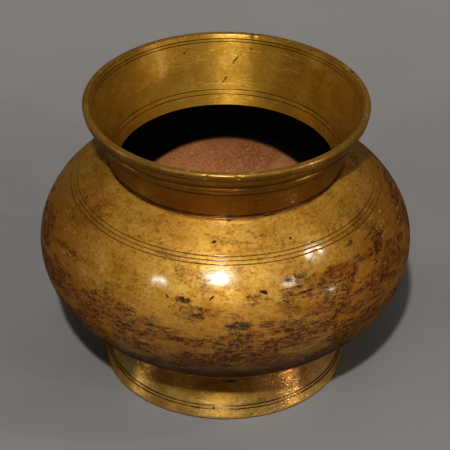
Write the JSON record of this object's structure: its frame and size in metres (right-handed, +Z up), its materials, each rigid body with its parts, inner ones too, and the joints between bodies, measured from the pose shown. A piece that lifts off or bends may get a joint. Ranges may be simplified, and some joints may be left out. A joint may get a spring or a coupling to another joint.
{
  "type": "footed brass pot with flared collar",
  "caption": "Round-bodied cast brass water pot with a wide flared collar, turned groove lines and a spreading conical foot ring.",
  "frame": {"origin": "centre of the circle the foot stands on", "axes": "+Z up along the turning axis; the pot is the same all the way round"},
  "size_m": [0.24, 0.24, 0.192],
  "materials": {
    "collar_brass": "turned, rubbed clean by handling",
    "body_brass": "aged, fine scratches and pits",
    "tarnished_brass": "aged, dark tarnish in patches",
    "foot_brass": "turned, warm and worn bright at the edge",
    "braze": "dull coppery filler"
  },
  "bodies": {
    "root": {"collar": "collar_brass", "shoulder_shell": "body_brass", "belly_shell": "tarnished_brass", "foot_ring": "foot_brass", "neck_braze_ring": "braze", "belly_braze_ring": "braze", "foot_braze_ring": "braze"}
  },
  "joints": []
}
